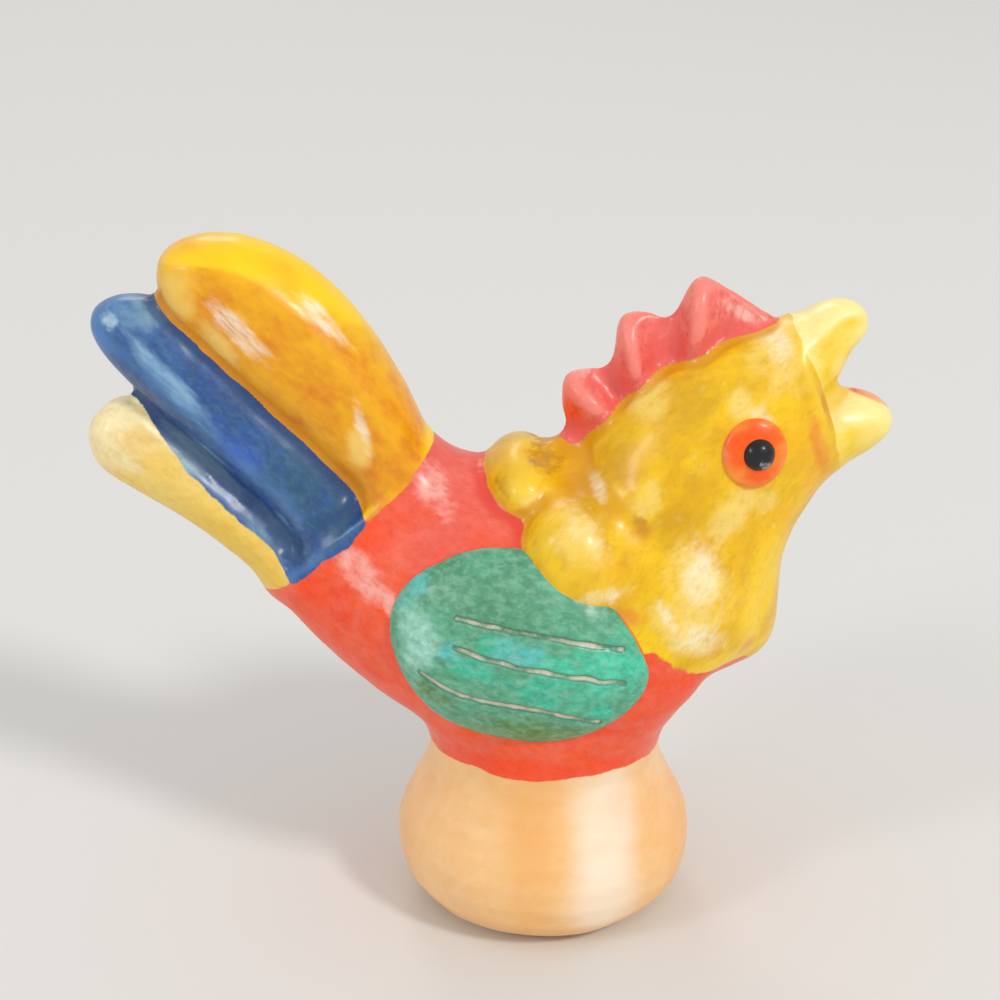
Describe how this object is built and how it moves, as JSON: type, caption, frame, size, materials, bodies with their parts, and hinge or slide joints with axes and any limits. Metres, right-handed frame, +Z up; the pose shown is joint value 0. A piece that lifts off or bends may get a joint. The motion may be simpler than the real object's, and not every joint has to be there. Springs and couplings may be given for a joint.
{
  "type": "pottery rooster figurine",
  "caption": "Hand-built pottery rooster with a raised fan tail, open beak, lobed hackle and serrated comb, standing on a hollow bell-shaped foot.",
  "frame": {"origin": "on the table, under the middle of the bird's bounding box", "axes": "+X is the way the bird looks, +Y is its left side, +Z is up"},
  "size_m": [0.1659, 0.0652, 0.1489],
  "materials": {
    "body_paint": "fired clay, brushed orange-red paint under a soft sheen",
    "foot_paint": "fired clay, cream-orange paint under a soft sheen",
    "hackle_paint": "fired clay, brushed ochre-yellow paint with brown strokes",
    "comb_paint": "fired clay, coral-red paint",
    "beak_paint": "fired clay, lemon-yellow paint",
    "eye_paint": "fired clay, orange paint",
    "pupil_paint": "fired clay, glossy black paint",
    "wing_paint": "fired clay, mottled green paint with scratched feather lines",
    "tail_yellow_paint": "fired clay, orange-yellow paint",
    "tail_blue_paint": "fired clay, streaky blue paint",
    "tail_straw_paint": "fired clay, pale straw-yellow paint"
  },
  "bodies": {
    "root": {"beak_lower": "beak_paint", "beak_upper": "beak_paint", "body": "body_paint", "comb": "comb_paint", "eye_left": "eye_paint", "eye_right": "eye_paint", "foot": "foot_paint", "hackle_lobe_back": "hackle_paint", "hackle_lobe_chest": "hackle_paint", "hackle_lobe_front_left": "hackle_paint", "hackle_lobe_front_right": "hackle_paint", "hackle_lobe_rear_left": "hackle_paint", "hackle_lobe_rear_right": "hackle_paint", "neck_and_head": "hackle_paint", "pupil_left": "pupil_paint", "pupil_right": "pupil_paint", "tail_lower_roll": "tail_straw_paint", "tail_middle_roll": "tail_blue_paint", "tail_upper_roll": "tail_yellow_paint", "wing_left": "wing_paint", "wing_right": "wing_paint"}
  },
  "joints": []
}
